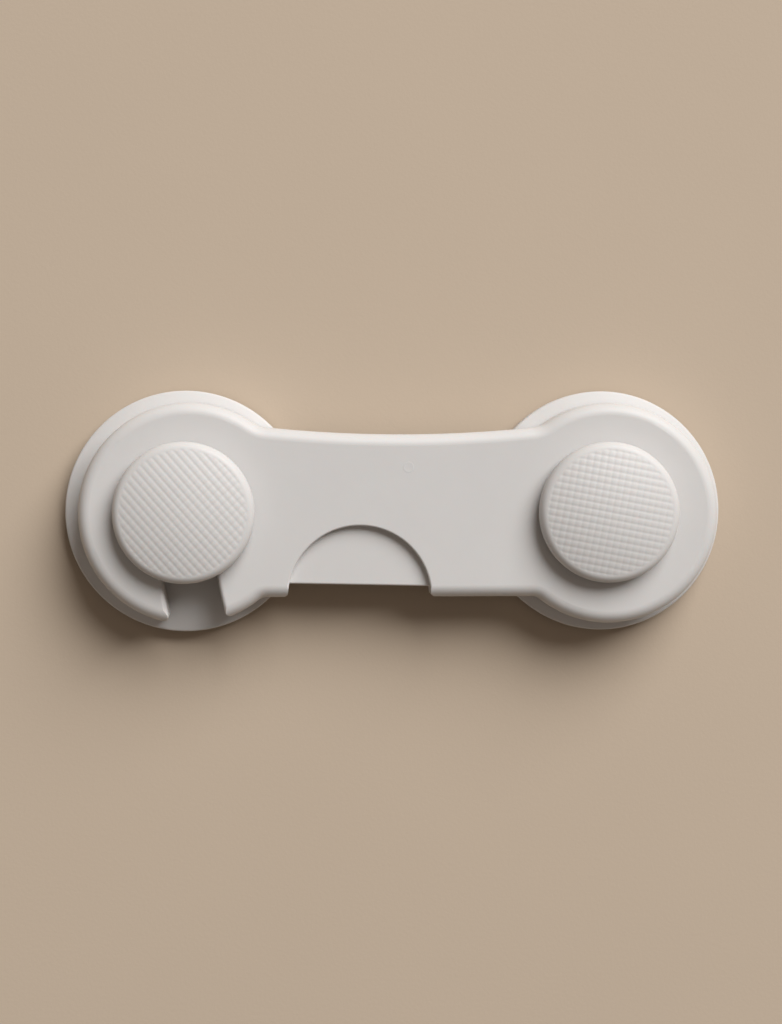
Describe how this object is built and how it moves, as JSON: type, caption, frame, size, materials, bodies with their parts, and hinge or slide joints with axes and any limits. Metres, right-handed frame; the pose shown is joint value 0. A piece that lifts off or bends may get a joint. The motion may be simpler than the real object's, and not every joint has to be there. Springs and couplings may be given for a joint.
{
  "type": "child safety latch",
  "caption": "Child safety latch for double cupboard doors: a pivoting arm with a hook slot and finger notch, held by round stick-on bases with domed, knurled push buttons.",
  "frame": {"origin": "on the doors' face, midway between the two posts", "axes": "+X along the arm from the hook to the pivot, +Y up the doors, +Z away from the doors"},
  "size_m": [0.1147, 0.042, 0.0167],
  "materials": {
    "white_plastic": "satin moulded plastic, slightly warm white",
    "foam_tape": "closed-cell foam tape",
    "spring_steel": "bright drawn wire"
  },
  "bodies": {
    "bases": {"left_adhesive_pad": "foam_tape", "left_base": "white_plastic", "left_spring_plug": "white_plastic", "left_spring": "spring_steel", "right_adhesive_pad": "foam_tape", "right_base": "white_plastic", "right_spring_plug": "white_plastic", "right_spring": "spring_steel"},
    "arm": {"latch_arm": "white_plastic"},
    "left_button": {"left_plunger": "white_plastic", "left_button_cap": "white_plastic"},
    "right_button": {"right_plunger": "white_plastic", "right_button_cap": "white_plastic"}
  },
  "joints": [
    {"name": "arm_swing", "type": "hinge", "parent": "bases", "child": "arm", "pos_m": [0.03635, 0, 0.0046], "axis": [0, 0, -1], "range_deg": [0, 330]},
    {"name": "left_button_press", "type": "slide", "parent": "bases", "child": "left_button", "axis": [0, 0, -1], "range_m": [0, 0.0008], "stiffness_N_per_m": 770, "springref_m": -0.0003, "deforming": ["left_spring"]},
    {"name": "right_button_press", "type": "slide", "parent": "bases", "child": "right_button", "axis": [0, 0, -1], "range_m": [0, 0.0008], "stiffness_N_per_m": 770, "springref_m": -0.0003, "deforming": ["right_spring"]}
  ]
}
